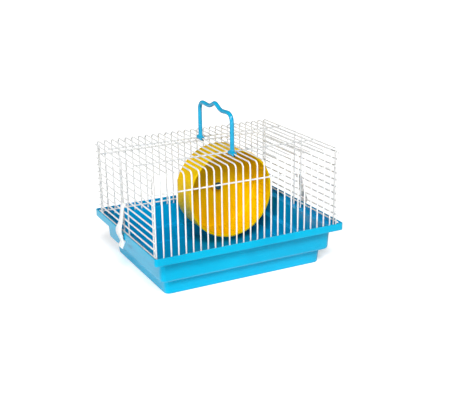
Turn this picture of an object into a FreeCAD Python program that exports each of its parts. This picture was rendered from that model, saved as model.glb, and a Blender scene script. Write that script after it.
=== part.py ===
import FreeCAD, Part
import math
import os

from FreeCAD import Vector

# Small hamster cage: a moulded tray, a lift-off top of coated wire held by two
# swinging latches, a folding carry handle and a running wheel on the rear wires.
# Units are millimetres. +X runs along the long side, +Y to the rear and +Z up.
# The origin is the middle of the tray's underside, where the cage rests.

# ---- wire top -------------------------------------------------------------
WIRE_D = 2.0
WIRE_R = WIRE_D / 2
WIRE_PITCH = 10.0
WIRE_COUNT = 27
TOP_HALF_Y = 100.0
WIRE_FOOT_Z = 53.1
ROOF_Z = 160.8
BEND_R = 6.0

FRONT_CROSS_Z = (54.4, 137.5)
BACK_CROSS_Z = (59.3, 142.0)
ROOF_CROSS_Y = (-36.0, 55.0)

# ---- end panels -----------------------------------------------------------
END_BAR_X = 132.0
END_BAR_HALF = 101.5
END_BAR_COUNT = 11
END_BAR_FIRST_Z = 59.3
END_BAR_PITCH = 9.6
UPRIGHT_CORNER_Y = 94.0
UPRIGHT_MIDDLE_Y = 9.0
UPRIGHT_TOP_Z = 157.5

# ---- tray -----------------------------------------------------------------
TRAY_WALL = 2.0
RIM_HALF_X = 135.8
RIM_HALF_Y = 110.2
RIM_CORNER_R = 4.0
RIM_TOP_Z = 60.6
LEDGE_BOTTOM_Z = 50.7
RIM_WALL = 1.8
STEP_Z = 21.0
TUB_CORNER_R = 7.0
BASE_HALF_X = 113.5
BASE_HALF_Y = 85.5
STEP_IN_X = 115.5
STEP_IN_Y = 87.5
WALL_FOOT_X = 123.0
WALL_FOOT_Y = 96.5
WALL_TOP_X = 124.5
WALL_TOP_Y = 98.0

# ---- latches --------------------------------------------------------------
LATCH_BAR_INDEX = 4
LATCH_WIDTH = 14.0
LATCH_BARREL_R = 2.9
LATCH_THICK = 2.4
HINGE_PLAY = 0.06
LATCH_SLOT = 1.6

# ---- carry handle ---------------------------------------------------------
HANDLE_ROD_R = 2.8
HANDLE_HALF_SPAN = 47.7
HANDLE_MID_Y = -3.5
HANDLE_FOOT_LENGTH = 16.5
HANDLE_FOOT_R = 3.3

# ---- running wheel --------------------------------------------------------
WHEEL_X = 40.0
WHEEL_Z = 76.8
WHEEL_R = 64.5
WHEEL_FRONT_Y = 31.0
WHEEL_BACK_Y = 80.5
WHEEL_WALL = 1.8
TREAD_COUNT = 30
TREAD_HEIGHT = 1.0
AXLE_R = 3.0
AXLE_PLAY = 0.08
HUB_R = 9.0
HUB_REACH = 3.0
HUB_FRONT_Y = WHEEL_BACK_Y - WHEEL_WALL - HUB_REACH
HUB_REAR_Y = WHEEL_BACK_Y + HUB_REACH

# ---- wheel mount ----------------------------------------------------------
SIDE_GAP = 0.4
WASHER_THICK = 1.2
AXLE_FRONT_Y = HUB_FRONT_Y - 3.4
AXLE_SEAT = 8.0
BRACKET_FRONT_Y = HUB_REAR_Y + 2 * SIDE_GAP + WASHER_THICK
BRACKET_HALF_X = 15.5
BRACKET_HALF_Z = 15.8
BRACKET_PLATE = 4.5
CLAMP_FRONT_Y = TOP_HALF_Y + 0.4
CLAMP_THICK = 3.0
CLAMP_BACK_Y = CLAMP_FRONT_Y + CLAMP_THICK
SCREW_R = 1.5
SCREW_REACH = 3.6
SCREW_HEAD_R = 2.8
SCREW_HEAD_H = 1.8
SCREW_OFFSET_Z = 12.0
SCREW_OFFSET_X = 5.0


def tube_rod(start, end, radius):
    """Straight round rod from one point to another."""
    run = end.sub(start)
    return Part.makeCylinder(radius, run.Length, start, run)


def save(node, shapes):
    """Write one named node, of one or more separate solids."""
    solids = []
    for shape in shapes:
        solids.extend(shape.Solids)
    whole = solids[0] if len(solids) == 1 else Part.makeCompound(solids)
    bad = [s for s in solids if not s.isValid()]
    whole.exportStep("parts/" + node + ".step")
    print(node, "solids", len(solids), "invalid", len(bad), "volume", round(whole.Volume, 1))


# ---- wires ----------------------------------------------------------------
def wire_x_places():
    first = -(WIRE_COUNT - 1) / 2 * WIRE_PITCH
    return [first + i * WIRE_PITCH for i in range(WIRE_COUNT)]


def bend_piece(x, side):
    """Quarter bend that joins an upright wire to the roof, on the front or rear side."""
    centre_y = side * (TOP_HALF_Y - BEND_R)
    centre_z = ROOF_Z - BEND_R
    disc = Part.Face(Part.Wire(Part.makeCircle(
        WIRE_R, Vector(x, side * TOP_HALF_Y, centre_z), Vector(0, 0, 1))))
    hinge = Vector(x, centre_y, centre_z)
    return disc.revolve(hinge, Vector(1, 0, 0), side * 90)


def upright_wires(side):
    """Front or rear run of every bent wire, with the bend at its top."""
    pieces = []
    for x in wire_x_places():
        foot = Vector(x, side * TOP_HALF_Y, WIRE_FOOT_Z)
        head = Vector(x, side * TOP_HALF_Y, ROOF_Z - BEND_R)
        run = tube_rod(foot, head, WIRE_R)
        pieces.append(run.fuse(bend_piece(x, side)).removeSplitter())
    return pieces


def roof_wires():
    reach = TOP_HALF_Y - BEND_R
    return [tube_rod(Vector(x, -reach, ROOF_Z), Vector(x, reach, ROOF_Z), WIRE_R)
            for x in wire_x_places()]


def cross_wire(y, z):
    """Wire along the cage, welded inside the bent wires."""
    half = (WIRE_COUNT - 1) / 2 * WIRE_PITCH + WIRE_R
    return tube_rod(Vector(-half, y, z), Vector(half, y, z), WIRE_R)


def end_bar_z(index):
    return END_BAR_FIRST_Z + index * END_BAR_PITCH


def end_bars(side):
    """Level bars of one end panel, welded across the outermost bent wires."""
    x = side * END_BAR_X
    return [tube_rod(Vector(x, -END_BAR_HALF, end_bar_z(i)), Vector(x, END_BAR_HALF, end_bar_z(i)), WIRE_R)
            for i in range(END_BAR_COUNT)]


def end_upright(side, y):
    x = side * (END_BAR_X - WIRE_D)
    return tube_rod(Vector(x, y, WIRE_FOOT_Z), Vector(x, y, UPRIGHT_TOP_Z), WIRE_R)


# ---- tray -----------------------------------------------------------------
def rounded_outline(half_x, half_y, radius, z):
    """Rounded rectangle as a closed wire at height z."""
    inner_x = half_x - radius
    inner_y = half_y - radius
    corners = [(inner_x, inner_y, 0), (-inner_x, inner_y, 90),
               (-inner_x, -inner_y, 180), (inner_x, -inner_y, 270)]
    arcs = []
    for cx, cy, start in corners:
        arcs.append(Part.makeCircle(radius, Vector(cx, cy, z), Vector(0, 0, 1), start, start + 90))
    edges = []
    for i, arc in enumerate(arcs):
        after = arcs[(i + 1) % len(arcs)]
        edges.append(arc)
        edges.append(Part.makeLine(arc.Vertexes[-1].Point, after.Vertexes[0].Point))
    return Part.Wire(edges)


def tapered_block(low, high, z_low, z_high):
    """Solid between two rounded rectangles, each (half_x, half_y, radius)."""
    outlines = [rounded_outline(*low, z_low), rounded_outline(*high, z_high)]
    return Part.makeLoft(outlines, True, True)


def bottom_edges(shape, z):
    return [e for e in shape.Edges
            if abs(e.BoundBox.ZMin - z) < 0.01 and abs(e.BoundBox.ZMax - z) < 0.01]


def tub(shrink, floor_z, step_z, top_z):
    """Stepped tub, drawn smaller by the given wall for the cavity."""
    corner = TUB_CORNER_R - shrink
    base = tapered_block((BASE_HALF_X - shrink, BASE_HALF_Y - shrink, corner),
                         (STEP_IN_X - shrink, STEP_IN_Y - shrink, corner), floor_z, step_z + 3)
    base = base.makeFillet(2.5 - shrink * 0.4, bottom_edges(base, floor_z))
    wall = tapered_block((WALL_FOOT_X - shrink, WALL_FOOT_Y - shrink, corner),
                         (WALL_TOP_X - shrink, WALL_TOP_Y - shrink, corner), step_z, top_z)
    wall = wall.makeFillet(4.5 - shrink * 0.7, bottom_edges(wall, step_z))
    return base.fuse(wall)


def tray():
    outer = tub(0.0, 0.0, STEP_Z, LEDGE_BOTTOM_Z + TRAY_WALL)
    cavity = tub(TRAY_WALL, TRAY_WALL, STEP_Z + TRAY_WALL, RIM_TOP_Z + 5)
    rim_outer = tapered_block((RIM_HALF_X, RIM_HALF_Y, RIM_CORNER_R),
                              (RIM_HALF_X, RIM_HALF_Y, RIM_CORNER_R), LEDGE_BOTTOM_Z, RIM_TOP_Z)
    in_x = RIM_HALF_X - RIM_WALL
    in_y = RIM_HALF_Y - RIM_WALL
    in_r = RIM_CORNER_R - RIM_WALL
    rim_inner = tapered_block((in_x, in_y, in_r), (in_x, in_y, in_r),
                              LEDGE_BOTTOM_Z + TRAY_WALL, RIM_TOP_Z + 5)
    rim = rim_outer.cut(rim_inner)
    rim = rim.makeFillet(0.6, bottom_edges(rim, RIM_TOP_Z))
    body = outer.fuse(rim).cut(cavity)
    return body.removeSplitter()


# ---- latches --------------------------------------------------------------
def latch(side):
    """Spring latch: a slotted barrel on an end bar, a bowed arm and a hooked tab."""
    pivot_x = END_BAR_X
    pivot_z = end_bar_z(LATCH_BAR_INDEX)
    rim_x = RIM_HALF_X
    hook_z = LEDGE_BOTTOM_Z - 0.8
    outline = [
        (pivot_x + 0.6, pivot_z + LATCH_BARREL_R),
        (pivot_x + 3.2, pivot_z + 1.2),
        (rim_x + 2.8, RIM_TOP_Z + 16.0),
        (rim_x + 6.8, RIM_TOP_Z + 6.0),
        (rim_x + 7.2, RIM_TOP_Z - 1.0),
        (rim_x + 3.6, hook_z + 1.0),
        (rim_x + 2.7, hook_z - 2.6),
        (rim_x + 5.0, hook_z - 8.6),
        (rim_x + 3.6, hook_z - 9.6),
        (rim_x + 0.2, hook_z - 3.4),
        (rim_x - 1.5, hook_z - 1.4),
        (rim_x - 1.5, hook_z),
        (rim_x + 0.7, hook_z),
        (rim_x + 1.6, RIM_TOP_Z - 3.5),
        (rim_x + 4.3, RIM_TOP_Z + 1.5),
        (rim_x + 3.9, RIM_TOP_Z + 7.0),
        (rim_x + 0.2, RIM_TOP_Z + 15.0),
        (pivot_x + 1.0, pivot_z - LATCH_BARREL_R + 0.4),
    ]
    points = [Vector(x, -LATCH_WIDTH / 2, z) for x, z in outline]
    face = Part.Face(Part.makePolygon(points + [points[0]]))
    arm = face.extrude(Vector(0, LATCH_WIDTH, 0))
    along = [e for e in arm.Edges if e.BoundBox.YLength > LATCH_WIDTH - 0.01]
    arm = arm.makeFillet(0.35, along)
    start = Vector(pivot_x, -LATCH_WIDTH / 2, pivot_z)
    barrel = Part.makeCylinder(LATCH_BARREL_R, LATCH_WIDTH, start, Vector(0, 1, 0))
    body = arm.fuse(barrel).removeSplitter()
    bore_r = WIRE_R + HINGE_PLAY
    bore = Part.makeCylinder(bore_r, LATCH_WIDTH + 2, start - Vector(0, 1, 0), Vector(0, 1, 0))
    slot = Part.makeBox(2 * LATCH_BARREL_R, LATCH_WIDTH + 2, LATCH_SLOT,
                        Vector(pivot_x - 2 * LATCH_BARREL_R, -LATCH_WIDTH / 2 - 1, pivot_z - LATCH_SLOT / 2))
    body = body.cut(bore).cut(slot)
    if side < 0:
        body = body.mirror(Vector(0, 0, 0), Vector(1, 0, 0))
    return body


# ---- carry handle ---------------------------------------------------------
def rounded_path(corners, radii):
    """Edges of straight runs joined by tangent arcs, one radius per inner corner."""
    edges = []
    last = corners[0]
    for i in range(1, len(corners) - 1):
        here = corners[i]
        back = corners[i - 1].sub(here).normalize()
        ahead = corners[i + 1].sub(here).normalize()
        half_turn = (math.pi - back.getAngle(ahead)) / 2
        reach = radii[i - 1] * math.tan(half_turn)
        arc_start = here + back * reach
        arc_end = here + ahead * reach
        inward = (back + ahead).normalize()
        sag = radii[i - 1] * (1 / math.cos(half_turn) - 1)
        arc_middle = here + inward * sag
        edges.append(Part.makeLine(last, arc_start))
        edges.append(Part.Arc(arc_start, arc_middle, arc_end).toShape())
        last = arc_end
    edges.append(Part.makeLine(last, corners[-1]))
    return edges


def carry_handle():
    """Bowed grip with a raised middle, and a slotted foot on each leg that snaps on a roof wire."""
    profile = [(-HANDLE_HALF_SPAN, 2.0), (-HANDLE_HALF_SPAN, 52.0), (-17.0, 50.0), (0.0, 57.7),
               (17.0, 50.0), (HANDLE_HALF_SPAN, 52.0), (HANDLE_HALF_SPAN, 2.0)]
    corners = [Vector(0, HANDLE_MID_Y + y, ROOF_Z + z) for y, z in profile]
    path = Part.Wire(rounded_path(corners, [14.0, 22.0, 10.0, 22.0, 14.0]))
    circle = Part.Wire(Part.makeCircle(HANDLE_ROD_R, corners[0], Vector(0, 0, 1)))
    body = path.makePipeShell([circle], True, False)
    slot_r = WIRE_R + HINGE_PLAY
    for end in (-1, 1):
        leg_y = HANDLE_MID_Y + end * HANDLE_HALF_SPAN
        start = Vector(0, leg_y - HANDLE_FOOT_LENGTH / 2, ROOF_Z)
        foot = Part.makeCylinder(HANDLE_FOOT_R, HANDLE_FOOT_LENGTH, start, Vector(0, 1, 0))
        foot = foot.makeChamfer(0.7, [e for e in foot.Edges if e.BoundBox.YLength < 0.01])
        body = body.fuse(foot)
    for end in (-1, 1):
        leg_y = HANDLE_MID_Y + end * HANDLE_HALF_SPAN
        start = Vector(0, leg_y - HANDLE_FOOT_LENGTH / 2 - 1, ROOF_Z)
        bore = Part.makeCylinder(slot_r, HANDLE_FOOT_LENGTH + 2, start, Vector(0, 1, 0))
        slot = Part.makeBox(LATCH_SLOT, HANDLE_FOOT_LENGTH + 2, 2 * HANDLE_FOOT_R,
                            start - Vector(LATCH_SLOT / 2, 0, 2 * HANDLE_FOOT_R))
        body = body.cut(bore).cut(slot)
    return body


# ---- running wheel --------------------------------------------------------
def disc_y(radius, y_low, y_high):
    """Round plate or drum about the wheel's axis."""
    return Part.makeCylinder(radius, y_high - y_low, Vector(WHEEL_X, y_low, WHEEL_Z), Vector(0, 1, 0))


def wheel_drum():
    """Open-fronted drum with a closed back, a rolled front edge, treads and a bored hub."""
    shell = disc_y(WHEEL_R, WHEEL_FRONT_Y, WHEEL_BACK_Y)
    shell = shell.makeFillet(3.0, rim_circles(shell, WHEEL_BACK_Y))
    hollow = disc_y(WHEEL_R - WHEEL_WALL, WHEEL_FRONT_Y - 1, WHEEL_BACK_Y - WHEEL_WALL)
    body = shell.cut(hollow)
    edge_ring = disc_y(WHEEL_R, WHEEL_FRONT_Y, WHEEL_FRONT_Y + 2.2)
    edge_ring = edge_ring.cut(disc_y(WHEEL_R - WHEEL_WALL - 1.4, WHEEL_FRONT_Y - 1, WHEEL_FRONT_Y + 4))
    body = body.fuse(edge_ring)
    tread_length = WHEEL_BACK_Y - WHEEL_FRONT_Y - WHEEL_WALL - 1.0
    for i in range(TREAD_COUNT):
        tread = Part.makeBox(2.0, tread_length, TREAD_HEIGHT + 0.5,
                             Vector(-1.0, WHEEL_FRONT_Y + 1.0, WHEEL_R - WHEEL_WALL - TREAD_HEIGHT))
        tread.rotate(Vector(0, 0, 0), Vector(0, 1, 0), i * 360.0 / TREAD_COUNT)
        tread.translate(Vector(WHEEL_X, 0, WHEEL_Z))
        body = body.fuse(tread)
    body = body.fuse(disc_y(HUB_R, HUB_FRONT_Y, HUB_REAR_Y))
    body = body.cut(disc_y(AXLE_R + AXLE_PLAY, HUB_FRONT_Y - 1, HUB_REAR_Y + 1))
    return body.removeSplitter()


def rim_circles(shape, y):
    """Round edges that lie at one place along the wheel's axis."""
    return [e for e in shape.Edges
            if abs(e.BoundBox.YMin - y) < 0.01 and e.BoundBox.YLength < 0.01]


def wheel_axle():
    """Plain pin, pressed into the bracket, that carries the wheel and its cap."""
    return disc_y(AXLE_R, AXLE_FRONT_Y, BRACKET_FRONT_Y + AXLE_SEAT)


def hub_cap():
    """Domed cap pressed on the axle's free end; it keeps the wheel on."""
    back_y = HUB_FRONT_Y - SIDE_GAP
    front_y = back_y - 4.6
    cap = disc_y(5.4, front_y, back_y)
    cap = cap.makeFillet(1.8, rim_circles(cap, front_y))
    return cap.cut(disc_y(AXLE_R, AXLE_FRONT_Y, back_y + 1))


def axle_washer():
    front_y = HUB_REAR_Y + SIDE_GAP
    ring = disc_y(6.5, front_y, front_y + WASHER_THICK)
    return ring.cut(disc_y(AXLE_R, front_y - 1, front_y + WASHER_THICK + 1))


def mount_plate(y_low, y_high):
    """Rounded plate centred on the wheel's axis, square to the rear wires."""
    plate = Part.makeBox(2 * BRACKET_HALF_X, y_high - y_low, 2 * BRACKET_HALF_Z,
                         Vector(WHEEL_X - BRACKET_HALF_X, y_low, WHEEL_Z - BRACKET_HALF_Z))
    corners = [e for e in plate.Edges if e.BoundBox.YLength > y_high - y_low - 0.01]
    return plate.makeFillet(5.0, corners)


def cut_wire_grooves(shape):
    """Half-round grooves for the three rear wires that the mount grips."""
    for offset in (-WIRE_PITCH, 0.0, WIRE_PITCH):
        low = Vector(WHEEL_X + offset, TOP_HALF_Y, WHEEL_Z - 2 * BRACKET_HALF_Z)
        high = Vector(WHEEL_X + offset, TOP_HALF_Y, WHEEL_Z + 2 * BRACKET_HALF_Z)
        shape = shape.cut(tube_rod(low, high, WIRE_R + 0.02))
    return shape


def screw_places():
    return [(WHEEL_X + side * SCREW_OFFSET_X, WHEEL_Z + side * SCREW_OFFSET_Z) for side in (-1, 1)]


def along_y(radius, length, x, y, z):
    return Part.makeCylinder(radius, length, Vector(x, y, z), Vector(0, 1, 0))


def wheel_bracket():
    """Inner half of the wheel mount: a grooved plate with a ribbed boss for the axle."""
    plate_y = TOP_HALF_Y - BRACKET_PLATE
    body = mount_plate(plate_y, TOP_HALF_Y)
    body = body.fuse(disc_y(8.5, BRACKET_FRONT_Y, plate_y + 1))
    rib_y = BRACKET_FRONT_Y + 3.0
    for side in (-1, 1):
        corner = Vector(WHEEL_X - 1.5, rib_y, WHEEL_Z + side * 11.0 - 4.0)
        body = body.fuse(Part.makeBox(3.0, plate_y + 1 - rib_y, 8.0, corner))
    body = body.cut(disc_y(AXLE_R, BRACKET_FRONT_Y - 1, BRACKET_FRONT_Y + AXLE_SEAT))
    body = cut_wire_grooves(body)
    for x, z in screw_places():
        body = body.cut(along_y(SCREW_R, SCREW_REACH, x, TOP_HALF_Y - SCREW_REACH, z))
    return body.removeSplitter()


def clamp_plate():
    """Outer half of the wheel mount, on the outside of the rear wires."""
    body = cut_wire_grooves(mount_plate(CLAMP_FRONT_Y, CLAMP_BACK_Y))
    for x, z in screw_places():
        body = body.cut(along_y(SCREW_R, 2 * CLAMP_THICK, x, TOP_HALF_Y, z))
    return body.removeSplitter()


def clamp_screws():
    """Two pan-head screws that draw the clamp plate to the bracket."""
    screws = []
    shank_y = TOP_HALF_Y - SCREW_REACH
    for x, z in screw_places():
        shank = along_y(SCREW_R, CLAMP_BACK_Y - shank_y, x, shank_y, z)
        head = along_y(SCREW_HEAD_R, SCREW_HEAD_H, x, CLAMP_BACK_Y, z)
        head = head.makeFillet(0.8, rim_circles(head, CLAMP_BACK_Y + SCREW_HEAD_H))
        screw = shank.fuse(head).removeSplitter()
        for turn in (0, 90):
            blade = Part.makeBox(3.2, SCREW_HEAD_H, 0.7, Vector(-1.6, 0, -0.35))
            blade.rotate(Vector(0, 0, 0), Vector(0, 1, 0), turn)
            blade.translate(Vector(x, CLAMP_BACK_Y + 0.8, z))
            screw = screw.cut(blade)
        screws.append(screw)
    return screws


def main():
    os.makedirs("parts", exist_ok=True)
    save("tray", [tray()])
    save("front_wires", upright_wires(-1))
    save("back_wires", upright_wires(1))
    save("roof_wires", roof_wires())
    inside_y = TOP_HALF_Y - WIRE_D
    save("front_cross_wire_lower", [cross_wire(-inside_y, FRONT_CROSS_Z[0])])
    save("front_cross_wire_upper", [cross_wire(-inside_y, FRONT_CROSS_Z[1])])
    save("back_cross_wire_lower", [cross_wire(inside_y, BACK_CROSS_Z[0])])
    save("back_cross_wire_upper", [cross_wire(inside_y, BACK_CROSS_Z[1])])
    save("roof_cross_wire_front", [cross_wire(ROOF_CROSS_Y[0], ROOF_Z - WIRE_D)])
    save("roof_cross_wire_rear", [cross_wire(ROOF_CROSS_Y[1], ROOF_Z - WIRE_D)])
    for name, side in (("left", -1), ("right", 1)):
        save(name + "_end_bars", end_bars(side))
        save(name + "_end_upright_front", [end_upright(side, -UPRIGHT_CORNER_Y)])
        save(name + "_end_uprights_middle",
             [end_upright(side, -UPRIGHT_MIDDLE_Y), end_upright(side, UPRIGHT_MIDDLE_Y)])
        save(name + "_end_upright_rear", [end_upright(side, UPRIGHT_CORNER_Y)])
        save(name + "_latch", [latch(side)])
    save("carry_handle", [carry_handle()])
    save("wheel_drum", [wheel_drum()])
    save("hub_cap", [hub_cap()])
    save("wheel_axle", [wheel_axle()])
    save("axle_washer", [axle_washer()])
    save("wheel_bracket", [wheel_bracket()])
    save("clamp_plate", [clamp_plate()])
    save("clamp_screws", clamp_screws())


main()
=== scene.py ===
# %% [markdown]
# # A small hamster cage, made piece by piece
# The cage is a blue moulded tray, a lift-off top of white coated wire, two swinging
# latches, a folding carry handle and a yellow running wheel on the rear wires. The
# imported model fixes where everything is, so this lesson only adds looks: finer
# pieces where moulded plastic has soft edges, and a finish for every surface.

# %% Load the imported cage
import math
import bpy
import bmesh
from mathutils import Matrix, Vector


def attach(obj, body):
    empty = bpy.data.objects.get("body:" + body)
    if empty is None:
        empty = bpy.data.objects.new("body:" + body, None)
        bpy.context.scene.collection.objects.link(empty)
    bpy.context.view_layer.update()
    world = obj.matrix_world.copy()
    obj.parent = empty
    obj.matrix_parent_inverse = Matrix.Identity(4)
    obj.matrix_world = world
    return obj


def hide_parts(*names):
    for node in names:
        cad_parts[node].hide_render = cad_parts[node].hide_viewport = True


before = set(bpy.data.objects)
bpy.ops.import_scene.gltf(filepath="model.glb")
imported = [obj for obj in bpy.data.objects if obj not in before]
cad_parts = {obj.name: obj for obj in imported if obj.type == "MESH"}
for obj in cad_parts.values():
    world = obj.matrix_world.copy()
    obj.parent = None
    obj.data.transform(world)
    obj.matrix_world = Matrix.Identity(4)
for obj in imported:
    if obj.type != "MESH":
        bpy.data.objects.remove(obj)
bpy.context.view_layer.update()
scene = bpy.context.scene
print("nodes:", len(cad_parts))

# %% [markdown]
# ## Units and a first helper
# The cage was designed in millimetres and Blender works in metres. Writing sizes in
# millimetres and converting them in one place keeps the numbers easy to compare with
# a ruler held against the real cage.

# %% Millimetres to metres
MM = 0.001


def in_metres(points):
    return [Vector(point) * MM for point in points]


def srgb(red, green, blue):
    """Screen colour, 0 to 255, as the linear colour that shaders use."""
    linear = []
    for value in (red, green, blue):
        share = value / 255
        linear.append(share / 12.92 if share <= 0.04045 else ((share + 0.055) / 1.055) ** 2.4)
    return (*linear, 1.0)


# %% [markdown]
# ## Camera
# The cage is seen from the front left and a little above, with a short telephoto
# lens, as goods are shown in a catalogue. The camera could be placed by hand, but
# angles and a distance from a point inside the cage are easier to reason about: the
# three axes are worked out from the angles, then the small roll turns two of them.

# %% Place the camera
CAMERA_AZIMUTH = math.radians(-27.419)
CAMERA_ELEVATION = math.radians(18.883)
CAMERA_ROLL = math.radians(-0.607)
CAMERA_TARGET = Vector((0.0288, -0.0102, 0.0695))
CAMERA_DISTANCE = 1.194
CAMERA_LENS = 65.66
SENSOR_WIDTH = 36.0

back = Vector((math.sin(CAMERA_AZIMUTH) * math.cos(CAMERA_ELEVATION),
               -math.cos(CAMERA_AZIMUTH) * math.cos(CAMERA_ELEVATION),
               math.sin(CAMERA_ELEVATION)))
level_right = Vector((0, 0, 1)).cross(back).normalized()
level_up = back.cross(level_right)
right = level_right * math.cos(CAMERA_ROLL) + level_up * math.sin(CAMERA_ROLL)
up = level_up * math.cos(CAMERA_ROLL) - level_right * math.sin(CAMERA_ROLL)
lens = bpy.data.cameras.new("studio_camera")
lens.lens = CAMERA_LENS
lens.sensor_width = SENSOR_WIDTH
camera = bpy.data.objects.new("studio_camera", lens)
scene.collection.objects.link(camera)
turn = Matrix((right, up, back)).transposed().to_4x4()
camera.matrix_world = Matrix.Translation(CAMERA_TARGET + back * CAMERA_DISTANCE) @ turn
scene.camera = camera
print("camera at", tuple(round(c, 3) for c in camera.location))

# %% [markdown]
# ## Small tools for building shaders
# Every finish below is a handful of nodes. These helpers only save typing: one adds
# a node with its settings, one starts a node group with named sockets, and one
# starts a material with an empty Principled shader.

# %% Node helpers
def add_node(tree, kind, links=None, values=None, **settings):
    node = tree.nodes.new(kind)
    for key, value in settings.items():
        setattr(node, key, value)
    for key, value in (values or {}).items():
        node.inputs[key].default_value = value
    for key, source in (links or {}).items():
        tree.links.new(source, node.inputs[key])
    return node


def new_group(name, inputs, outputs):
    """Node group with named sockets; returns the group, its inputs and its end node."""
    group = bpy.data.node_groups.new(name, "ShaderNodeTree")
    for label, kind, value in inputs:
        socket = group.interface.new_socket(name=label, in_out="INPUT", socket_type=kind)
        socket.default_value = value
    for label, kind in outputs:
        group.interface.new_socket(name=label, in_out="OUTPUT", socket_type=kind)
    start = group.nodes.new("NodeGroupInput")
    end = group.nodes.new("NodeGroupOutput")
    return group, start.outputs, end.inputs


def use_group(tree, group, **values):
    """Place a group in a material; underscores in the names stand for spaces."""
    node = tree.nodes.new("ShaderNodeGroup")
    node.node_tree = group
    for key, value in values.items():
        node.inputs[key.replace("_", " ")].default_value = value
    return node


def new_finish(name, **constants):
    """Material with one Principled shader; constants go on the shader's own sockets."""
    material = bpy.data.materials.new(name)
    material.use_nodes = True
    tree = material.node_tree
    tree.nodes.clear()
    output = add_node(tree, "ShaderNodeOutputMaterial")
    shader = add_node(tree, "ShaderNodeBsdfPrincipled")
    tree.links.new(shader.outputs["BSDF"], output.inputs["Surface"])
    for key, value in constants.items():
        shader.inputs[key.replace("_", " ")].default_value = value
    return material, tree, shader


FLOAT = "NodeSocketFloat"
COLOUR = "NodeSocketColor"
print("node helpers ready")

# %% [markdown]
# ## Moulded skin, a shared effect
# Injection-moulded plastic is never one flat colour. Pigment drifts in soft clouds
# as the melt flows, the mould leaves a very fine orange-peel skin, and gloss varies
# with it. All plastic pieces here share that, so it is one node group that puts out
# a colour, a roughness and a height, and each material gives it its own values.

# %% Moulded skin group
moulded_skin, skin_in, skin_out = new_group("moulded_skin", [
    ("Colour", COLOUR, (0.5, 0.5, 0.5, 1.0)),
    ("Cloud Colour", COLOUR, (0.4, 0.4, 0.4, 1.0)),
    ("Cloud Scale", FLOAT, 20.0),
    ("Grain Scale", FLOAT, 900.0),
    ("Gloss Low", FLOAT, 0.2),
    ("Gloss High", FLOAT, 0.35),
], [("Colour", COLOUR), ("Roughness", FLOAT), ("Height", FLOAT)])
place = add_node(moulded_skin, "ShaderNodeTexCoord")
cloud = add_node(moulded_skin, "ShaderNodeTexNoise",
                 {"Vector": place.outputs["Object"], "Scale": skin_in["Cloud Scale"]},
                 {"Detail": 3.0, "Roughness": 0.5, "Distortion": 0.6})
cloud_mask = add_node(moulded_skin, "ShaderNodeMapRange", {"Value": cloud.outputs["Fac"]},
                      {"From Min": 0.35, "From Max": 0.68})
tint = add_node(moulded_skin, "ShaderNodeMix",
                {"Factor": cloud_mask.outputs["Result"], "A": skin_in["Colour"],
                 "B": skin_in["Cloud Colour"]}, data_type="RGBA")
grain = add_node(moulded_skin, "ShaderNodeTexNoise",
                 {"Vector": place.outputs["Object"], "Scale": skin_in["Grain Scale"]},
                 {"Detail": 2.0, "Roughness": 0.55})
gloss = add_node(moulded_skin, "ShaderNodeMapRange",
                 {"Value": grain.outputs["Fac"], "To Min": skin_in["Gloss Low"],
                  "To Max": skin_in["Gloss High"]}, {"From Min": 0.3, "From Max": 0.7})
moulded_skin.links.new(tint.outputs["Result"], skin_out["Colour"])
moulded_skin.links.new(gloss.outputs["Result"], skin_out["Roughness"])
moulded_skin.links.new(grain.outputs["Fac"], skin_out["Height"])
print("moulded skin outputs:", [s.name for s in skin_out if s.name])

# %% [markdown]
# ## Handling marks, a shared effect
# Glossy plastic picks up hair-fine rub marks where it is wiped and carried. Noise
# that is stretched a long way in one direction makes streaks, a narrow threshold
# keeps only the thinnest, and a second, broad noise leaves them in patches. The
# group puts out a mask, which each material turns into a little extra roughness.

# %% Handling marks group
handling_marks, marks_in, marks_out = new_group("handling_marks", [
    ("Streak Scale", FLOAT, 60.0),
    ("Amount", FLOAT, 0.5),
], [("Mask", FLOAT)])
place = add_node(handling_marks, "ShaderNodeTexCoord")
streak_masks = []
for turn_x, turn_z in ((0.3, 0.5), (1.2, -0.8)):
    stretch = add_node(handling_marks, "ShaderNodeMapping", {"Vector": place.outputs["Object"]},
                       {"Rotation": (turn_x, 0.4, turn_z), "Scale": (1.0, 22.0, 22.0)})
    streak = add_node(handling_marks, "ShaderNodeTexNoise",
                      {"Vector": stretch.outputs["Vector"], "Scale": marks_in["Streak Scale"]},
                      {"Detail": 2.0})
    line = add_node(handling_marks, "ShaderNodeMapRange", {"Value": streak.outputs["Fac"]},
                    {"From Min": 0.66, "From Max": 0.72})
    streak_masks.append(line.outputs["Result"])
either = add_node(handling_marks, "ShaderNodeMath", operation="MAXIMUM")
handling_marks.links.new(streak_masks[0], either.inputs[0])
handling_marks.links.new(streak_masks[1], either.inputs[1])
patch = add_node(handling_marks, "ShaderNodeTexNoise", {"Vector": place.outputs["Object"]},
                 {"Scale": 25.0, "Detail": 1.0})
patch_mask = add_node(handling_marks, "ShaderNodeMapRange", {"Value": patch.outputs["Fac"]},
                      {"From Min": 0.45, "From Max": 0.65})
patched = add_node(handling_marks, "ShaderNodeMath", operation="MULTIPLY")
handling_marks.links.new(either.outputs[0], patched.inputs[0])
handling_marks.links.new(patch_mask.outputs["Result"], patched.inputs[1])
scaled = add_node(handling_marks, "ShaderNodeMath", operation="MULTIPLY")
handling_marks.links.new(patched.outputs[0], scaled.inputs[0])
handling_marks.links.new(marks_in["Amount"], scaled.inputs[1])
handling_marks.links.new(scaled.outputs[0], marks_out["Mask"])
print("handling marks group has", len(handling_marks.nodes), "nodes")

# %% [markdown]
# ## One recipe for moulded plastic
# The tray, handle, latches, wheel and mount are all moulded plastic that differ in
# colour, gloss and grain. A function joins the two groups to a Principled shader the
# same way each time, so the differences stay easy to see side by side.

# %% Plastic recipe
RUB_DULLING = 0.22


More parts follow.
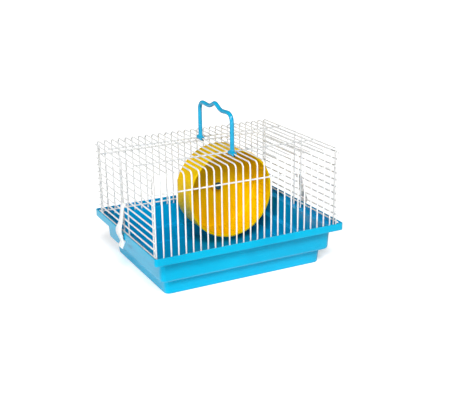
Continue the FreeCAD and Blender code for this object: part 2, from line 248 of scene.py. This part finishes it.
def plastic(name, colour, cloud_colour, gloss_range, grain_scale, cloud_scale=18.0,
            bump=0.00002, marks=0.5, sheen_range=None, **constants):
    material, tree, shader = new_finish(name, **constants)
    skin = use_group(tree, moulded_skin, Colour=colour, Cloud_Colour=cloud_colour,
                     Cloud_Scale=cloud_scale, Grain_Scale=grain_scale,
                     Gloss_Low=gloss_range[0], Gloss_High=gloss_range[1])
    rubbed = use_group(tree, handling_marks, Streak_Scale=55.0, Amount=marks)
    tree.links.new(skin.outputs["Colour"], shader.inputs["Base Color"])
    duller = add_node(tree, "ShaderNodeMath", operation="MULTIPLY_ADD")
    duller.inputs[1].default_value = RUB_DULLING
    tree.links.new(rubbed.outputs["Mask"], duller.inputs[0])
    tree.links.new(skin.outputs["Roughness"], duller.inputs[2])
    tree.links.new(duller.outputs[0], shader.inputs["Roughness"])
    relief = add_node(tree, "ShaderNodeBump", {"Height": skin.outputs["Height"]},
                      {"Strength": 0.35, "Distance": bump})
    tree.links.new(relief.outputs["Normal"], shader.inputs["Normal"])
    if sheen_range:
        slant = add_node(tree, "ShaderNodeLayerWeight", values={"Blend": 0.5})
        sheen = add_node(tree, "ShaderNodeMapRange", {"Value": slant.outputs["Facing"]},
                         {"From Min": 0.2, "From Max": 0.55, "To Min": sheen_range[0],
                          "To Max": sheen_range[1]})
        tree.links.new(sheen.outputs["Result"], shader.inputs["Specular IOR Level"])
    return material


tray_blue = plastic("tray_blue", srgb(0, 178, 217), srgb(0, 168, 209), (0.16, 0.27), 420.0,
                    cloud_scale=14.0, marks=0.6, sheen_range=(0.12, 1.0), IOR=1.49)
handle_blue = plastic("handle_blue", srgb(0, 166, 208), srgb(0, 154, 200), (0.12, 0.22), 700.0,
                      cloud_scale=40.0, marks=0.4, IOR=1.49, Coat_Weight=0.3, Coat_Roughness=0.08)
latch_white = plastic("latch_white", srgb(236, 236, 235), srgb(229, 230, 230), (0.25, 0.38), 800.0,
                      cloud_scale=60.0, marks=0.3, IOR=1.49, Subsurface_Weight=0.08,
                      Subsurface_Scale=0.002)
wheel_yellow = plastic("wheel_yellow", srgb(248, 204, 0), srgb(245, 194, 0), (0.2, 0.32), 520.0,
                       cloud_scale=16.0, marks=0.6, IOR=1.3, Specular_IOR_Level=0.15)
mount_blue = plastic("mount_blue", srgb(0, 88, 112), srgb(0, 76, 102), (0.25, 0.38), 900.0,
                     cloud_scale=60.0, marks=0.3, IOR=1.49)
print("plastics:", [m.name for m in bpy.data.materials])

# %% [markdown]
# The inside of the tray only sees other blue walls, so light that bounces about in it
# comes back deeper. That deeper shade is painted in: the tray's mesh carries a mark,
# called inside, on the points of its inner skin, and the finish mixes in a painted
# deeper blue shade where the mark is.

# %% Painted deeper shade inside the tray
tree = tray_blue.node_tree
shader = next(node for node in tree.nodes if node.type == "BSDF_PRINCIPLED")
outside_colour = shader.inputs["Base Color"].links[0].from_socket
mark = add_node(tree, "ShaderNodeAttribute", attribute_name="inside")
# painted shade: a deeper blue for the light bounced between the inner walls
painted_bounce_shade = add_node(tree, "ShaderNodeMix", {"Factor": mark.outputs["Fac"], "A": outside_colour},
                      {"B": srgb(0, 158, 216)}, data_type="RGBA")
tree.links.new(painted_bounce_shade.outputs["Result"], shader.inputs["Base Color"])
print("tray blue nodes:", len(tree.nodes))

# %% [markdown]
# ## Coated wire
# The wires are steel dipped in white plastic powder and baked. The coat is glossy
# and slightly uneven, thicker in some places than in others, so a medium noise moves
# the surface a few hundredths of a millimetre and the colour drifts between two
# whites.

# %% Coated wire finish
coated_wire, tree, shader = new_finish("coated_wire", IOR=1.52, Coat_Weight=0.25, Coat_Roughness=0.12)
skin = use_group(tree, moulded_skin, Colour=srgb(238, 238, 236), Cloud_Colour=srgb(229, 230, 230),
                 Cloud_Scale=70.0, Grain_Scale=380.0, Gloss_Low=0.22, Gloss_High=0.36)
tree.links.new(skin.outputs["Colour"], shader.inputs["Base Color"])
tree.links.new(skin.outputs["Roughness"], shader.inputs["Roughness"])
relief = add_node(tree, "ShaderNodeBump", {"Height": skin.outputs["Height"]},
                  {"Strength": 0.5, "Distance": 0.00008})
tree.links.new(relief.outputs["Normal"], shader.inputs["Normal"])
print("coated wire nodes:", len(tree.nodes))

# %% [markdown]
# ## Metal and nylon
# The axle is drawn steel with fine rings left by the lathe, and the screws are zinc
# plated. Both are the same recipe with different scales: noise squeezed along one
# axis for the rings, which moves the roughness and the tint. The washer is milky
# nylon, so it gets a little light through it.

# %% Steel and nylon finishes
def steel(name, bright, dark, ring_scale, roughness):
    material, tree, shader = new_finish(name, Metallic=1.0)
    place = add_node(tree, "ShaderNodeTexCoord")
    squeeze = add_node(tree, "ShaderNodeMapping", {"Vector": place.outputs["Object"]},
                       {"Scale": (1.0, ring_scale, 1.0)})
    rings = add_node(tree, "ShaderNodeTexNoise", {"Vector": squeeze.outputs["Vector"]},
                     {"Scale": 300.0, "Detail": 3.0})
    tint = add_node(tree, "ShaderNodeMix", {"Factor": rings.outputs["Fac"]},
                    {"A": bright, "B": dark}, data_type="RGBA")
    gloss = add_node(tree, "ShaderNodeMapRange", {"Value": rings.outputs["Fac"]},
                     {"From Min": 0.3, "From Max": 0.7, "To Min": roughness, "To Max": roughness + 0.15})
    relief = add_node(tree, "ShaderNodeBump", {"Height": rings.outputs["Fac"]},
                      {"Strength": 0.3, "Distance": 0.00003})
    tree.links.new(tint.outputs["Result"], shader.inputs["Base Color"])
    tree.links.new(gloss.outputs["Result"], shader.inputs["Roughness"])
    tree.links.new(relief.outputs["Normal"], shader.inputs["Normal"])
    return material


axle_steel = steel("axle_steel", srgb(205, 207, 210), srgb(150, 153, 158), 12.0, 0.22)
screw_steel = steel("screw_steel", srgb(214, 214, 206), srgb(168, 168, 160), 1.0, 0.3)
washer_nylon = plastic("washer_nylon", srgb(228, 224, 208), srgb(216, 212, 196), (0.35, 0.5), 900.0,
                       IOR=1.53, Subsurface_Weight=0.15, Subsurface_Scale=0.002)
print("materials so far:", len(bpy.data.materials))

# %% [markdown]
# ## Turning outlines into pieces
# Each moulded piece below is one closed skin of quads, made from rings of points. A
# stack of rings can be a swept rim, a lathe-turned wheel or a tube along a path, so
# a single function that joins rings covers them all. A second function finishes the
# object: material, smooth shading, the body it rides on and the nodes it stands for.

# %% Mesh helpers
def join_rings(rings, close_ends=(True, True)):
    """Quads between rings of equal length; returns vertices in metres and faces."""
    count = len(rings[0])
    vertices = [point for ring in rings for point in in_metres(ring)]
    faces = []
    for level in range(len(rings) - 1):
        low = level * count
        high = low + count
        for i in range(count):
            j = (i + 1) % count
            faces.append((low + i, low + j, high + j, high + i))
    if close_ends[0]:
        faces.append(tuple(reversed(range(count))))
    if close_ends[1]:
        last = (len(rings) - 1) * count
        faces.append(tuple(range(last, last + count)))
    return vertices, faces


CREASE_ANGLE = 42.0


def make_piece(name, vertices, faces, finish, body, slot, stands_for=()):
    mesh = bpy.data.meshes.new(name)
    mesh.from_pydata(vertices, [], faces)
    shape = bmesh.new()
    shape.from_mesh(mesh)
    bmesh.ops.recalc_face_normals(shape, faces=shape.faces)
    shape.to_mesh(mesh)
    shape.free()
    mesh.materials.append(finish)
    mesh.polygons.foreach_set("use_smooth", [True] * len(mesh.polygons))
    mesh.set_sharp_from_angle(angle=math.radians(CREASE_ANGLE))
    piece = bpy.data.objects.new(name, mesh)
    scene.collection.objects.link(piece)
    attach(piece, body)
    if stands_for:
        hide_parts(*stands_for)
    print(name, "has", len(mesh.polygons), "faces")
    return piece


def rounded_line(corners, radii, steps=5):
    """Points of a line in any number of dimensions, with each inner corner rounded."""
    points = [tuple(corners[0])]
    for i in range(1, len(corners) - 1):
        here = Vector(corners[i])
        behind = Vector(corners[i - 1]) - here
        ahead = Vector(corners[i + 1]) - here
        reach = min(radii[i - 1], behind.length * 0.49, ahead.length * 0.49)
        start = here + behind * (reach / behind.length)
        stop = here + ahead * (reach / ahead.length)
        for k in range(steps + 1):
            t = k / steps
            points.append(tuple(start * (1 - t) ** 2 + here * 2 * t * (1 - t) + stop * t * t))
    points.append(tuple(corners[-1]))
    return points


def smooth_step(value, low, high):
    share = min(1.0, max(0.0, (value - low) / (high - low)))
    return share * share * (3 - 2 * share)


print("mesh helpers ready")

# %% [markdown]
# ## The tray
# The tray is one thin injection moulding: a stepped tub with drafted walls, a ledge
# that carries the wire top, and an upright rim round it. It could be cut out of
# solids, but then its soft corners would have to be bevelled afterwards. Here the
# wall's cross-section is drawn once, with a radius at each corner, and carried round
# a rounded rectangle, which is how the real rim is milled into the mould.

# %% Cross-section of the tray's wall
# Each row is half length, half depth and corner radius of the outline, then height.
tray_section = [
    (98.0, 70.0, 5.0, 0.7), (102.4, 74.4, 6.0, 0.7), (103.2, 75.2, 6.3, 0.0), (113.5, 85.5, 7.0, 0.0),
    (115.4, 87.4, 7.0, 21.0), (123.0, 96.5, 7.0, 21.0), (124.5, 98.0, 7.0, 50.7),
    (135.8, 110.2, 4.0, 50.7), (135.8, 110.2, 4.0, 60.6), (134.0, 108.4, 2.4, 60.6),
    (134.0, 108.4, 2.4, 52.7), (122.4, 95.9, 5.0, 52.7), (121.0, 94.5, 5.0, 23.0),
    (113.4, 85.4, 5.0, 23.0), (111.6, 83.6, 5.0, 2.0), (98.0, 70.0, 5.0, 2.0),
]
section_radii = [0.5, 0.5, 2.5, 1.0, 4.5, 1.2, 0.8, 0.7, 0.7, 1.2, 1.1, 3.0, 1.1, 2.4]
NEARLY_RIM_TOP = 60.5
tray_levels = rounded_line(tray_section, section_radii)
print("tray section has", len(tray_levels), "levels")

# %% [markdown]
# The outline of each level is a rounded rectangle. Every level has the same number of
# points, so the levels join into even quads, and the soft corners of the moulding
# come from the small steps round them. Levels from the top of the rim inwards are
# remembered, because the inside gets a painted deeper blue shade.

# %% Outline of one level
CORNER_STEPS = 9
SIDE_STEPS = 14


def level_outline(half_x, half_y, radius, z):
    straight_x = half_x - radius
    straight_y = half_y - radius
    end_y = [straight_y * (2 * k / SIDE_STEPS - 1) for k in range(1, SIDE_STEPS)]
    points = []
    for side in (1, -1):
        points += [(side * half_x, side * y, z) for y in end_y]
        for k in range(CORNER_STEPS + 1):
            angle = math.radians(90 * k / CORNER_STEPS)
            points.append((side * (straight_x + radius * math.cos(angle)),
                           side * (straight_y + radius * math.sin(angle)), z))
        for k in range(1, SIDE_STEPS):
            points.append((side * straight_x * (1 - 2 * k / SIDE_STEPS), side * half_y, z))
        for k in range(CORNER_STEPS + 1):
            angle = math.radians(90 + 90 * k / CORNER_STEPS)
            points.append((side * (-straight_x + radius * math.cos(angle)),
                           side * (straight_y + radius * math.sin(angle)), z))
    return points


wall_rings = [level_outline(*level) for level in tray_levels]
tray_vertices, tray_faces = join_rings(wall_rings)
tray_piece = make_piece("tray_shell", tray_vertices, tray_faces, tray_blue, "tray", "tray_blue",
                        ["tray"])
rim_top = max(k for k, level in enumerate(tray_levels) if level[3] > NEARLY_RIM_TOP)
# mark on the inner skin, where the finish paints a deeper blue shade for bounced light
painted_shade_mask = tray_piece.data.attributes.new("inside", "FLOAT", "POINT")
painted_shade_mask.data.foreach_set("value", [1.0 if k > rim_top else 0.0
                                       for k, ring in enumerate(wall_rings) for _ in ring])
print("levels inside the tray:", len(tray_levels) - 1 - rim_top)

# %% [markdown]
# ## Wire top
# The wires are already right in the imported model: straight drawn rods with bent
# corners. What they lack is how the grid is joined. Each crossing is spot welded and
# then dipped, which leaves a small white bead in the corner of the two wires, and
# every cut end carries a drop of coating. Both are little squashed balls, joined
# into one mesh per kind so the scene stays light.

# %% Finish the wires
wire_nodes = [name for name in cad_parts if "wire" in name or "_end_" in name]
for name in wire_nodes:
    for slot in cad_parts[name].material_slots:
        slot.material = coated_wire
print("coated wire nodes:", len(wire_nodes))

# %% Beads and drops
WIRE_XS = [k * 10.0 for k in range(-13, 14)]
BAR_ZS = [59.3 + 9.6 * k for k in range(11)]
UPRIGHT_YS = (-94.0, -9.0, 9.0, 94.0)
FRONT_CROSS_ZS = (54.4, 137.5)
BACK_CROSS_ZS = (59.3, 142.0)
ROOF_CROSS_YS = (-36.0, 55.0)
END_WIRE_X = 131.0
CORNER_BEAD_TOP = 152.0


def blob_mesh(name, places):
    """One mesh of squashed balls; each place is a centre and three radii."""
    shape = bmesh.new()
    for centre, radii in places:
        stretch = Matrix.Diagonal((*[r * MM for r in radii], 1.0))
        bmesh.ops.create_icosphere(shape, subdivisions=2, radius=1.0,
                                   matrix=Matrix.Translation(Vector(centre) * MM) @ stretch)
    mesh = bpy.data.meshes.new(name)
    shape.to_mesh(mesh)
    shape.free()
    vertices = [v.co.copy() / MM for v in mesh.vertices]
    faces = [tuple(p.vertices) for p in mesh.polygons]
    bpy.data.meshes.remove(mesh)
    return in_metres(vertices), faces


BEAD_FLAT_X = (0.5, 1.15, 1.15)
BEAD_FLAT_Y = (1.15, 0.5, 1.15)
BEAD_FLAT_Z = (1.15, 1.15, 0.5)
beads = []
for x in WIRE_XS:
    for y, zs in ((-99.0, FRONT_CROSS_ZS), (99.0, BACK_CROSS_ZS)):
        beads += [((x, y, z), BEAD_FLAT_Y) for z in zs]
    beads += [((x, y, 159.8), BEAD_FLAT_Z) for y in ROOF_CROSS_YS]
for side in (-1, 1):
    for z in BAR_ZS:
        beads += [((side * END_WIRE_X, y, z), BEAD_FLAT_X) for y in UPRIGHT_YS]
        if z < CORNER_BEAD_TOP:
            beads += [((side * END_WIRE_X, y, z), BEAD_FLAT_X) for y in (-100.0, 100.0)]
make_piece("weld_beads", *blob_mesh("weld_beads", beads), coated_wire, "wire_top", "coated_wire")

# Places of the cross wires' cut ends, seen from the end of the cage.
cross_ends = [(-98, z) for z in FRONT_CROSS_ZS] + [(98, z) for z in BACK_CROSS_ZS]
cross_ends += [(y, 158.8) for y in ROOF_CROSS_YS]
drops = []
for side in (-1, 1):
    for z in BAR_ZS:
        drops += [((side * (END_WIRE_X + 1.0), y, z), (1.05, 0.8, 1.05)) for y in (-101.5, 101.5)]
    drops += [((side * END_WIRE_X, y, z), (0.8, 1.04, 1.04)) for y, z in cross_ends]
    drops += [((side * (END_WIRE_X - 1.0), y, 157.5), (1.05, 1.05, 0.9)) for y in UPRIGHT_YS]
make_piece("coating_drops", *blob_mesh("coating_drops", drops), coated_wire, "wire_top", "coated_wire")

# %% [markdown]
# ## Closed outlines pushed along a line
# A latch and a handle foot are both a flat outline with thickness. Pushing the
# outline straight through would leave razor edges, so the first and last rings are
# drawn a little smaller, which rolls the edge over as a moulding does.

# %% Outline helpers
def offset_outline(outline, amount):
    """The outline moved inwards along the mean direction of its neighbouring edges."""
    count = len(outline)
    moved = []
    for i in range(count):
        here = Vector(outline[i])
        before = (here - Vector(outline[i - 1])).normalized()
        after = (Vector(outline[(i + 1) % count]) - here).normalized()
        along = (before + after).normalized()
        moved.append(here + Vector((-along.y, along.x)) * amount)
    return moved


def pushed_outline(outline, low, high, edge, place, width_at=None):
    """Rings of a flat outline from low to high, with rolled edges of that size."""
    stations = [(low, edge), (low + edge * 0.3, edge * 0.3), (low + edge, 0.0)]
    inner = [low + edge + (high - low - 2 * edge) * k / 4 for k in range(1, 4)]
    stations += [(y, 0.0) for y in inner]
    stations += [(high - edge, 0.0), (high - edge * 0.3, edge * 0.3), (high, edge)]
    rings = []
    for y, shrink in stations:
        ring = []
        for u, w in offset_outline(outline, shrink):
            wide = width_at(w) if width_at else 1.0
            ring.append(place(u, y * wide, w))
        rings.append(ring)
    return rings


def arc_points(radius, start, stop, count):
    """Points on a circle about the origin; angles in degrees."""
    angles = [math.radians(start + (stop - start) * k / count) for k in range(count + 1)]
    return [(radius * math.cos(a), radius * math.sin(a)) for a in angles]


print("outline helpers ready")

# %% [markdown]
# ## The two latches
# Each latch is a white spring clip. Its top is a split barrel that snaps on an end
# bar and turns there, its arm bows outwards over the rim, a small hook catches under
# the rim, and the tab below is for a fingertip. The outline is drawn from the
# barrel's centre, outwards and upwards, and mirrored for the other end.

# %% Outline of a latch
LATCH_PIVOT = (132.0, 97.7)
LATCH_HALF_WIDTH = 7.0
LATCH_EDGE = 0.25
# A barrel and a handle foot both snap on a wire, so their bores have the same radius.
SNAP_BORE = 1.08
latch_arm = [(3.3, 1.0), (5.2, -12.0), (6.8, -21.6), (10.6, -30.4), (11.0, -38.1), (7.6, -46.0),
             (6.5, -50.2), (8.8, -55.6), (8.8, -57.2), (7.2, -57.2), (4.2, -51.6), (2.3, -49.6),
             (2.3, -47.85), (4.9, -47.85), (5.4, -40.6), (8.1, -35.6), (7.7, -30.1), (4.3, -22.0),
             (2.6, -9.0)]
arm_radii = [3.0, 3.5, 3.5, 3.0, 2.5, 2.0, 0.8, 0.8, 1.5, 0.8, 0.4, 0.5, 2.0, 2.0, 2.0, 3.0, 3.0]
arm_line = rounded_line([Vector(p) for p in latch_arm], arm_radii, steps=4)
BARREL_RADIUS = 2.9
barrel = arc_points(BARREL_RADIUS, -55.0, -164.0, 14)
bore = arc_points(SNAP_BORE, -132.0, 132.0, 16)
barrel_top = arc_points(BARREL_RADIUS, 164.0, 22.0, 16)
latch_outline = list(reversed(arm_line + barrel + bore + barrel_top))
print("latch outline has", len(latch_outline), "points")

# %% Latches
def latch_width(w):
    """Share of the full width at height w: slim at the barrel, broad over the rim."""
    bulge = math.exp(-((w + 34.0) / 8.0) ** 2)
    tab = math.exp(-((w + 56.0) / 5.0) ** 2)
    return 0.54 + 0.55 * bulge + 0.5 * tab


for side, name in ((-1, "left_latch"), (1, "right_latch")):
    rings = pushed_outline(latch_outline, -LATCH_HALF_WIDTH, LATCH_HALF_WIDTH, LATCH_EDGE,
                           lambda u, y, w, s=side: (s * (LATCH_PIVOT[0] + u), y, LATCH_PIVOT[1] + w),
                           latch_width)
    make_piece(name + "_clip", *join_rings(rings), latch_white, name, "latch_white", [name])

# %% [markdown]
# ## Carry handle
# The handle is a round plastic rod bent into a bow, with a raised middle that keeps
# it from sliding in the fingers, and a split foot on each leg that snaps on the
# middle roof wire and lets the handle fold. A curve object could make the rod, but
# sweeping rings along the path by hand also allows a fine seam where the mould's
# halves met, and legs that flare into their feet.

# %% Handle path
ROOF_Z = 160.8
HANDLE_MID_Y = -3.5
HALF_SPAN = 47.7
ROD_RADIUS = 2.8
handle_corners = [(-HALF_SPAN, 1.5), (-HALF_SPAN, 52.0), (-17.0, 50.0), (0.0, 57.7), (17.0, 50.0),
                  (HALF_SPAN, 52.0), (HALF_SPAN, 1.5)]
bend_reach = [13.5, 6.0, 4.0, 6.0, 13.5]
bow = rounded_line([Vector(p) for p in handle_corners], bend_reach, steps=12)
bow = [Vector(p) for p in bow]


def along_path(points, spacing):
    """Points at even spacing along a line of points."""
    lengths = [0.0]
    for a, b in zip(points, points[1:]):
        lengths.append(lengths[-1] + (b - a).length)
    count = round(lengths[-1] / spacing)
    spread = []
    k = 0
    for i in range(count + 1):
        want = lengths[-1] * i / count
        while k < len(lengths) - 2 and lengths[k + 1] < want:
            k += 1
        share = (want - lengths[k]) / (lengths[k + 1] - lengths[k])
        spread.append(points[k].lerp(points[k + 1], share))
    return spread


bow = along_path(bow, 1.6)
print("handle bow has", len(bow), "stations")

# %% Handle rod and feet
ROD_SIDES = 24
FOOT_HALF_WIDTH = 7.0
FOOT_EDGE = 0.6


def rod_ring(k):
    here = bow[k]
    ahead = bow[min(k + 1, len(bow) - 1)] - bow[max(k - 1, 0)]
    ahead.normalize()
    outward = Vector((-ahead.y, ahead.x))
    flare = 1 + 0.14 * (1 - smooth_step(here.y, 2.5, 7.0))
    ring = []
    for step in range(ROD_SIDES):
        angle = math.tau * step / ROD_SIDES
        seam = 1 + 0.03 * max(0.0, math.cos(2 * angle)) ** 24
        reach = ROD_RADIUS * flare * seam
        off = outward * (reach * math.sin(angle))
        ring.append((reach * math.cos(angle), HANDLE_MID_Y + here.x + off.x, ROOF_Z + here.y + off.y))
    return ring


rod_vertices, rod_faces = join_rings([rod_ring(k) for k in range(len(bow))])
foot_outer = arc_points(3.3, -76.0, 256.0, 36)
foot_bore = arc_points(SNAP_BORE, 222.0, -42.0, 18)
foot_outline = foot_outer + foot_bore
handle_vertices = list(rod_vertices)
handle_faces = list(rod_faces)
for end in (-1, 1):
    leg_y = HANDLE_MID_Y + end * HALF_SPAN
    rings = pushed_outline(foot_outline, leg_y - FOOT_HALF_WIDTH, leg_y + FOOT_HALF_WIDTH,
                           FOOT_EDGE, lambda u, y, w: (u, y, ROOF_Z + w))
    vertices, faces = join_rings(rings)
    base = len(handle_vertices)
    handle_vertices += vertices
    handle_faces += [tuple(base + i for i in face) for face in faces]
make_piece("carry_bow", handle_vertices, handle_faces, handle_blue, "handle", "handle_blue",
           ["carry_handle"])

# %% [markdown]
# ## Running wheel
# The wheel is a shallow yellow drum, open at the front. Turning a profile round the
# axle makes it, as the mould's cavity was turned on a lathe: a rolled lip at the
# front, a slightly rounded rear corner, and a hub with a bore. Low treads inside
# give a hamster's feet a grip, and they come from moving the drum's inner rings in
# and out round the circle.

# %% Wheel profile
WHEEL_X = 40.0
WHEEL_Z = 76.8
TREADS = 30
WHEEL_STEPS = TREADS * 10
# Each row is a radius and a place along the axle.
outer_profile = rounded_line([Vector(p) for p in (
    (3.08, 83.5), (9.0, 83.5), (9.6, 80.5), (64.5, 80.5), (64.5, 33.4), (64.9, 31.9), (64.1, 30.9),
    (61.6, 31.0), (61.3, 33.0), (62.7, 34.2), (62.7, 78.7), (9.8, 78.7), (9.0, 75.7), (3.08, 75.7))],
    [0.7, 0.6, 3.0, 0.6, 0.7, 0.7, 0.7, 0.7, 0.9, 2.2, 0.8, 0.8], steps=4)
print("wheel profile has", len(outer_profile), "points")


def tread_lift(radius, y, angle):
    """How far a tread stands in from the drum's inner wall at this angle."""
    in_wall = smooth_step(y, 33.6, 36.0) * (1 - smooth_step(y, 74.5, 77.5)) * (62.0 < radius < 62.9)
    ridge = max(0.0, math.cos(TREADS * angle)) ** 3
    return 1.0 * in_wall * ridge


def wheel_ring(radius, y):
    ring = []
    for step in range(WHEEL_STEPS):
        angle = math.tau * step / WHEEL_STEPS
        reach = radius - tread_lift(radius, y, angle)
        ring.append((WHEEL_X + reach * math.cos(angle), y, WHEEL_Z + reach * math.sin(angle)))
    return ring


# %% Turn the wheel
def split_long(profile, longest):
    """Extra points on long runs, so that treads and shading follow the surface."""
    points = [Vector(profile[0])]
    for point in profile[1:]:
        run = Vector(point) - points[-1]
        parts = max(1, math.ceil(run.length / longest))
        start = points[-1].copy()
        points += [start + run * (k + 1) / parts for k in range(parts)]
    return points


wheel_profile = split_long(outer_profile, 6.0)
wheel_rings = [wheel_ring(p.x, p.y) for p in wheel_profile]
wheel_vertices, wheel_faces = join_rings(wheel_rings + [wheel_rings[0]], (False, False))
count = len(wheel_rings[0])
last = len(wheel_rings) * count
wheel_faces = [tuple(i - last if i >= last else i for i in face) for face in wheel_faces]
wheel_vertices = wheel_vertices[:last]
make_piece("wheel_shell", wheel_vertices, wheel_faces, wheel_yellow, "wheel", "wheel_yellow",
           ["wheel_drum"])

# %% [markdown]
# ## Hub cap
# A small blue cap is pressed on the axle's free end so that the wheel can't slide
# off. It is turned like the wheel, with a domed face and a shallow dimple where the
# mould's ejector pin stood.

# %% Hub cap
CAP_SIDES = 48
cap_profile = rounded_line([Vector(p) for p in (
    (3.0, 75.3), (5.4, 75.3), (5.4, 71.6), (4.2, 70.7), (1.6, 70.7), (1.3, 71.1), (0.05, 71.15))],
    [0.3, 1.0, 0.9, 0.3, 0.3], steps=3)
cap_rings = []
for radius, y in cap_profile:
    cap_rings.append([(WHEEL_X + radius * math.cos(math.tau * k / CAP_SIDES), y,
                       WHEEL_Z + radius * math.sin(math.tau * k / CAP_SIDES))
                      for k in range(CAP_SIDES)])
make_piece("hub_button", *join_rings(cap_rings, (False, True)), mount_blue, "wire_top", "mount_blue",
           ["hub_cap"])

# %% [markdown]
# ## Mount, axle and screws
# The mount behind the wheel is a small two-part clamp round three rear wires. Its
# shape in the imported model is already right, so it only gets its finishes.

# %% Finish the mount
mount_finishes = {"wheel_bracket": mount_blue, "clamp_plate": mount_blue, "wheel_axle": axle_steel,
                  "axle_washer": washer_nylon, "clamp_screws": screw_steel}
for name, finish in mount_finishes.items():
    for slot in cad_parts[name].material_slots:
        slot.material = finish
print("mount pieces:", sorted(mount_finishes))

# %% [markdown]
# ## Floor and light
# The cage stands on a pale studio floor that runs far back, so that no edge shows.
# The main light comes from above and in front, a low one fills the front, and a
# third from the left brightens the end of the cage. Suns with a wide angle act like
# large soft boxes, and they light the floor evenly however far it reaches. A weak
# white glow all round softens the shadows. Floor and glow are made brighter where the
# camera looks straight at them than in the light they give, which keeps the backdrop
# white without washing out the colours.

# %% Floor
FLOOR_HALF = 30.0
FLOOR_DROP = 0.0002
FLOOR_LIFT = 0.5
floor_finish, tree, shader = new_finish("studio_floor", Specular_IOR_Level=0.2)
place = add_node(tree, "ShaderNodeTexCoord")
mottle = add_node(tree, "ShaderNodeTexNoise", {"Vector": place.outputs["Object"]},
                  {"Scale": 3.0, "Detail": 4.0})
paper = add_node(tree, "ShaderNodeMix", {"Factor": mottle.outputs["Fac"]},
                 {"A": (0.93, 0.93, 0.93, 1.0), "B": (0.9, 0.9, 0.9, 1.0)}, data_type="RGBA")
tree.links.new(paper.outputs["Result"], shader.inputs["Base Color"])
shader.inputs["Roughness"].default_value = 0.7
shader.inputs["Emission Color"].default_value = (1.0, 1.0, 1.0, 1.0)
seen = add_node(tree, "ShaderNodeLightPath")
lift = add_node(tree, "ShaderNodeMath", operation="MULTIPLY")
lift.inputs[1].default_value = FLOOR_LIFT
tree.links.new(seen.outputs["Is Camera Ray"], lift.inputs[0])
tree.links.new(lift.outputs[0], shader.inputs["Emission Strength"])
floor_mesh = bpy.data.meshes.new("studio_floor")
floor_mesh.from_pydata([(x * FLOOR_HALF, y * FLOOR_HALF, -FLOOR_DROP) for x, y in
                        ((-1, -1), (1, -1), (1, 1), (-1, 1))], [], [(0, 1, 2, 3)])
floor_mesh.materials.append(floor_finish)
floor = bpy.data.objects.new("studio_floor", floor_mesh)
scene.collection.objects.link(floor)

# %% Lights
GLOW_STRENGTH = 0.17
BACKDROP_STRENGTH = 1.0
world = bpy.data.worlds.new("studio_glow")
world.use_nodes = True
backdrop = world.node_tree.nodes["Background"]
backdrop.inputs["Color"].default_value = (1.0, 1.0, 1.0, 1.0)
seen = add_node(world.node_tree, "ShaderNodeLightPath")
glow = add_node(world.node_tree, "ShaderNodeMapRange", {"Value": seen.outputs["Is Camera Ray"]},
                {"To Min": GLOW_STRENGTH, "To Max": BACKDROP_STRENGTH})
world.node_tree.links.new(glow.outputs["Result"], backdrop.inputs["Strength"])
scene.world = world
scene.view_settings.view_transform = "Standard"


def soft_sun(name, towards, strength, spread):
    """Sun that shines along a direction, as wide as spread in degrees."""
    light = bpy.data.lights.new(name, "SUN")
    light.energy = strength
    light.angle = math.radians(spread)
    lamp = bpy.data.objects.new(name, light)
    lamp.rotation_mode = "QUATERNION"
    lamp.rotation_quaternion = Vector(towards).to_track_quat("-Z", "Y")
    lamp.location = Vector(towards) * -1.5
    scene.collection.objects.link(lamp)
    print(name, "energy", strength)


soft_sun("key_light", (0.20, 0.65, -0.72), 2.2, 18.0)
soft_sun("front_light", (0.08, 0.98, 0.06), 0.9, 40.0)
soft_sun("side_light", (0.84, 0.45, -0.33), 1.7, 14.0)
